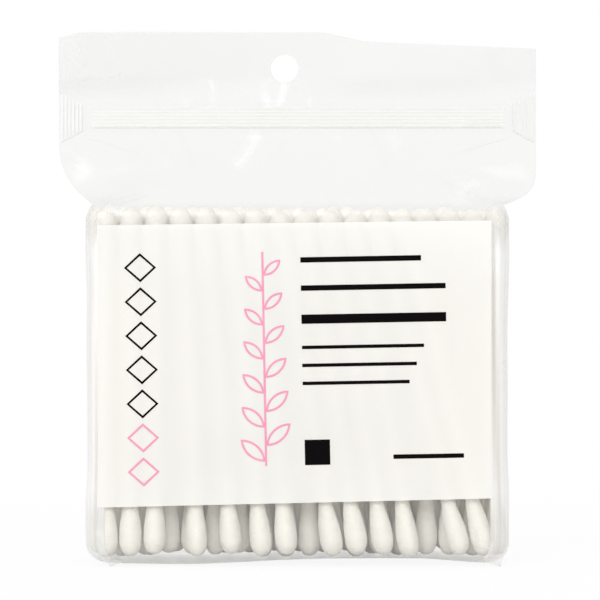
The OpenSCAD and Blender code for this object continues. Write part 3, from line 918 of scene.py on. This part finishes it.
class Drawing:
    """Strips of ink laid on the film, each between two lines of points."""

    def __init__(self, shape, sizes):
        self.shape, self.sizes = shape, sizes
        self.points, self.faces, self.count = [], [], 0
        self.middle = (sizes.panel_low + sizes.panel_high) / 2
        self.slope = math.atan((sizes.panel_rise + sizes.panel_top_rise) / (4 * BODY_HW))

    def strip(self, first, second, across=2):
        """A strip between two lines of as many points, x and z, turned as the panel is."""
        share = np.linspace(0, 1, across)[:, None, None]
        flat = mix(np.asarray(first, float), np.asarray(second, float), share)
        x, z = turned(flat[..., 0], flat[..., 1] - self.middle, self.slope)
        c, z = self.shape.c_of(x), self.shape.z_of(x, z + self.middle)
        points, _ = self.shape.at(c, z, INK_OUT)
        self.faces.append(grid_faces(across, flat.shape[1], self.count))
        self.points.append(points.reshape(-1, 3))
        self.count += points.shape[0] * points.shape[1]

    def bar(self, x, z, w, h):
        """An upright or level bar from its left end at x, centred on z."""
        steps = np.linspace(x, x + w, max(2, int(w / 0.5) + 1))
        low = np.stack([steps, np.full_like(steps, z - h / 2)], -1)
        self.strip(low, low + (0, h), max(2, int(h / 0.5) + 1))

    def diamond(self, x, z, w, h):
        """A diamond drawn as an outline."""
        thin = 1.4 * self.sizes.line_w
        corners = [(1, 0), (0, 1), (-1, 0), (0, -1), (1, 0)]
        outer, inner = [], []
        for a, b in zip(corners, corners[1:]):
            for t in np.linspace(0, 1, 9)[:-1]:
                px, pz = mix(a[0], b[0], t), mix(a[1], b[1], t)
                outer.append((x + px * w / 2, z + pz * h / 2))
                inner.append((x + px * (w / 2 - thin), z + pz * (h / 2 - thin)))
        self.strip(outer + outer[:1], inner + inner[:1])

    def leaf(self, x, z, turn, size, width):
        """A pointed leaf drawn as an outline from its stalk at x and z."""
        radius = (size * size + width * width) / (4 * width)
        reach = math.asin(size / 2 / radius)
        for way in (-1, 1):
            lines = []
            for r in (radius, radius - self.sizes.line_w):
                a = np.linspace(-reach, reach, 16)
                px = size / 2 + r * np.sin(a) * (size / 2 / (radius * math.sin(reach)))
                pz = way * np.maximum(r * np.cos(a) - radius + width / 2, 0)
                px, pz = turned(px, pz, turn)
                lines.append(np.stack([x + px, z + pz], -1))
            self.strip(*lines[::way])

    def add(self, name, finish, slot, node):
        """Makes one piece of all the strips."""
        faces = np.concatenate(self.faces).tolist()
        add_piece(name, np.concatenate(self.points), faces, finish, [node])


def build_panel(sizes, pouch, finish):
    """The white panel, laid on the film's front and a little way round its corners."""
    shape = FilmShape(pouch)
    c = through(PANEL_FROM, (1, 7), (2, 149), (PANEL_TO, 13))
    share = np.linspace(0, 1, 90)[:, None]
    x = shape.at(c, PLAIN_Z)[0][:, 0]
    slant = (x + BODY_HW + 1) / (2 * BODY_HW + 2)
    low = sizes.panel_low + sizes.panel_rise * slant
    high = sizes.panel_high + sizes.panel_top_rise * slant
    height = mix(low, high, share)
    points, marks = shape.at(c[None], shape.z_of(x, height), PANEL_OUT)
    faces = grid_faces(*height.shape).tolist()
    marks = {"gap": marks["gap"]}
    add_piece("white_panel", points, faces, finish, ["print_white_panel"], marks)


def draw_black(drawing):
    """Upper diamonds, and bars that stand for lines of text."""
    for i in range(5):
        drawing.diamond(DIAMOND_X, 62.2 - DIAMOND_STEP * i, DIAMOND_W, DIAMOND_H)
    drawing.bar(TEXT_X, 63.2, 0.8 * TEXT_W, 1.1)
    drawing.bar(TEXT_X, 57.4, 0.96 * TEXT_W, 1.1)
    drawing.bar(TEXT_X, 51, 0.96 * TEXT_W, 1.9)
    for i in range(3):
        drawing.bar(TEXT_X, 45.2 - 3.7 * i, (0.81 - 0.05 * i) * TEXT_W, 0.7)
    drawing.bar(TEXT_X + 0.2, 23.6, 5.2, 5.2)
    drawing.bar(TEXT_X + 18.4, 22.4, 14.5, 0.9)


def draw_pink(drawing):
    """Lower diamonds and the sprig of leaves."""
    line_w = drawing.sizes.line_w
    for i in range(2):
        drawing.diamond(DIAMOND_X, 27.2 - DIAMOND_STEP * i, DIAMOND_W, DIAMOND_H)
    steps = np.linspace(SPRIG_LOW, SPRIG_HIGH, 60)
    left = np.stack([np.full_like(steps, SPRIG_X - line_w / 2), steps], -1)
    drawing.strip(left, left + (line_w, 0))
    for i in range(6):
        for way in (-1, 1):
            drawing.leaf(
                SPRIG_X + way * line_w / 4,
                LEAF_LOW + LEAF_STEP * i + 1.6 * way,
                math.radians(90 - way * LEAF_TURN),
                LEAF_L - 0.4 * i,
                LEAF_W - 0.15 * i,
            )


# Stage

# Point that the lamps are aimed at, in metres
MIDDLE = (0, 0, 0.055)
# Square soft lamps: name, place and side in metres, and watts
LAMPS = [
    ("key_lamp", (-0.6, -1.15, 0.85), 0.8, 8.5),
    ("fill_lamp", (0.45, -1.15, 0.8), 0.8, 3.0),
    ("back_lamp", (0.35, 0.95, 0.8), 1.0, 2.0),
]
# Strength of the white room's light, which looks full white to the eye
ROOM_LIGHT = 0.72
# Half of the floor's side, how far the pouch darkens it, both in metres, and by what share
FLOOR_HALF, SHADE_REACH, SHADE_SHARE = 12.0, 0.3125, 0.09
# Width of the camera's sensor, in millimetres
SENSOR_W = 36


def soft_lamp(name, place, size, watts):
    """A square soft lamp that points at the middle of the pouch."""
    light = bpy.data.lights.new(name, "AREA")
    light.size, light.energy = size, watts
    lamp = bpy.data.objects.new(name, light)
    lamp.location = place
    lamp.rotation_euler = (Vector(MIDDLE) - lamp.location).to_track_quat("-Z", "Y").to_euler()
    bpy.context.scene.collection.objects.link(lamp)


def white_to_eye(finish):
    """1 for rays that look straight, by gloss or through glass, and 0 for those that light."""
    path = finish.node("ShaderNodeLightPath")
    mirrored = path.out("Is Glossy Ray") + path.out("Is Transmission Ray")
    return (path.out("Is Camera Ray") + mirrored).least(1.0)


def build_stage(sizes):
    """Floor, white surroundings, soft lamps and the camera."""
    scene = bpy.context.scene
    floor_mesh = bpy.data.meshes.new("floor")
    corners = [(x * FLOOR_HALF, y * FLOOR_HALF, 0) for x, y in ((-1, -1), (1, -1), (1, 1), (-1, 1))]
    floor_mesh.from_pydata(corners, [], [(0, 1, 2, 3)])
    floor = bpy.data.objects.new("floor", floor_mesh)
    scene.collection.objects.link(floor)
    f = Finish("pale_floor")
    speck = f.noise(f.place(), 60.0)
    pale = f.blend(speck, (0.86, 0.86, 0.86), (0.88, 0.88, 0.88))
    matt = f.surface(Base_Color=pale, Roughness=0.9)
    glow = f.node("ShaderNodeEmission", {}, {"Color": (1, 1, 1), "Strength": 1.0})
    span = f.node("ShaderNodeVectorMath", {"operation": "LENGTH"}, {"Vector": f.place()})
    near = 1 - (span.out("Value") * (1 / SHADE_REACH)).least(1.0)
    share = (1 - SHADE_SHARE * near) * white_to_eye(f)
    both = f.node("ShaderNodeMixShader", {}, {"Fac": share, 1: matt, 2: glow})
    floor_mesh.materials.append(f.done(both))
    w = Finish("white_room", "worlds")
    strength = ROOM_LIGHT + (1 - ROOM_LIGHT) * white_to_eye(w)
    room = w.node("ShaderNodeBackground", {}, {"Color": (1, 1, 1), "Strength": strength})
    w.node("ShaderNodeOutputWorld", {}, {"Surface": room})
    scene.world = w.block
    for lamp in LAMPS:
        soft_lamp(*lamp)
    camera = bpy.data.objects.new("camera", bpy.data.cameras.new("camera"))
    camera.data.sensor_width = SENSOR_W
    camera.data.lens = SENSOR_W * sizes.distance / sizes.view_w
    camera.data.clip_start, camera.data.clip_end = 0.01, 100
    camera.location = np.array((sizes.aside, -sizes.distance, sizes.height)) * MM
    camera.rotation_euler = (math.pi / 2, 0, 0)
    scene.collection.objects.link(camera)
    scene.camera = camera
    scene.view_settings.view_transform = "Standard"


# Operators, one for each group of like pieces


class POUCH_OT_swab_stems(bpy.types.Operator):
    """Make the rolled paper stems of every row"""

    bl_idname = "pouch.swab_stems"
    bl_label = "Swab stems"

    def execute(self, context):
        finish = paper_finish(context.scene.pouch_colours)
        for row in ROWS:
            build_stems(row, finish)
        return {"FINISHED"}


class POUCH_OT_swab_tips(bpy.types.Operator):
    """Make the wound cotton tips of every row"""

    bl_idname = "pouch.swab_tips"
    bl_label = "Swab tips"

    def execute(self, context):
        finish = cotton_finish(context.scene.pouch_colours)
        sizes = in_mm(context.scene.pouch_swabs)
        for row in ROWS:
            for upper in (False, True):
                build_tips(sizes, row, upper, finish)
        return {"FINISHED"}


class POUCH_OT_film(bpy.types.Operator):
    """Make the clear film with its folds and its hang hole"""

    bl_idname = "pouch.film"
    bl_label = "Film"

    def execute(self, context):
        build_film(in_mm(context.scene.pouch_sizes), film_finish(context.scene.pouch_colours))
        return {"FINISHED"}


class POUCH_OT_zip(bpy.types.Operator):
    """Give the frame's zip strips and end welds their milky plastic"""

    bl_idname = "pouch.zip"
    bl_label = "Zip"

    def execute(self, context):
        colours = context.scene.pouch_colours
        strip = zip_finish(colours.zip, "zip_plastic", "Z", 0.72)
        weld = zip_finish(shade(colours.zip, 0.94), "zip_weld", "X", 0.8)
        for node in ("zip_tongue", "zip_groove", "zip_end_weld_left", "zip_end_weld_right"):
            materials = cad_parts[node].data.materials
            materials.clear()
            materials.append(weld if "weld" in node else strip)
        return {"FINISHED"}


class POUCH_OT_print(bpy.types.Operator):
    """Make the white panel and what is printed on it in black and pink"""

    bl_idname = "pouch.print"
    bl_label = "Print"

    def execute(self, context):
        scene = context.scene
        sizes, pouch = in_mm(scene.pouch_print), in_mm(scene.pouch_sizes)
        colours = scene.pouch_colours
        build_panel(sizes, pouch, panel_finish(colours))
        shape = FilmShape(pouch)
        for name, draw, ink, fade in (
            ("black", draw_black, colours.black, (0.003, 0.002, 0.002)),
            ("pink", draw_pink, colours.pink, (0.93, 0.42, 0.58)),
        ):
            drawing = Drawing(shape, sizes)
            draw(drawing)
            finish = ink_finish(f"{name}_ink", ink, fade)
            drawing.add(f"{name}_print", finish, f"{name}_ink", f"print_{name}")
        return {"FINISHED"}


class POUCH_OT_stage(bpy.types.Operator):
    """Make the floor, the lamps, the white room and the camera"""

    bl_idname = "pouch.stage"
    bl_label = "Stage"

    def execute(self, context):
        build_stage(in_mm(context.scene.pouch_stage))
        return {"FINISHED"}


class POUCH_PT_panel(bpy.types.Panel):
    """Buttons that build the pouch"""

    bl_label = "Pouch"
    bl_idname = "POUCH_PT_panel"
    bl_space_type = "VIEW_3D"
    bl_region_type = "UI"
    bl_category = "Pouch"

    def draw(self, context):
        for operator in OPERATORS:
            self.layout.operator(operator.bl_idname)
        for name in GROUPS:
            group = getattr(context.scene, name)
            column = self.layout.column(align=True)
            for key in group.__annotations__:
                column.prop(group, key)


OPERATORS = (
    POUCH_OT_swab_stems,
    POUCH_OT_swab_tips,
    POUCH_OT_film,
    POUCH_OT_zip,
    POUCH_OT_print,
    POUCH_OT_stage,
)
GROUPS = {
    "pouch_sizes": PouchSizes,
    "pouch_swabs": SwabSizes,
    "pouch_print": PrintSizes,
    "pouch_colours": PouchColours,
    "pouch_stage": StageSizes,
}


def register():
    """Registers the classes and the scene's settings."""
    for name, group in GROUPS.items():
        bpy.utils.register_class(group)
        setattr(bpy.types.Scene, name, bpy.props.PointerProperty(type=group))
    for operator in OPERATORS:
        bpy.utils.register_class(operator)
    bpy.utils.register_class(POUCH_PT_panel)


def unregister():
    """Takes back what register did."""
    bpy.utils.unregister_class(POUCH_PT_panel)
    for operator in reversed(OPERATORS):
        bpy.utils.unregister_class(operator)
    for name, group in reversed(GROUPS.items()):
        delattr(bpy.types.Scene, name)
        bpy.utils.unregister_class(group)


def main():
    """Builds everything."""
    register()
    bpy.ops.pouch.swab_stems()
    bpy.ops.pouch.swab_tips()
    bpy.ops.pouch.film()
    bpy.ops.pouch.zip()
    bpy.ops.pouch.print()
    bpy.ops.pouch.stage()


if __name__ == "__main__":
    main()
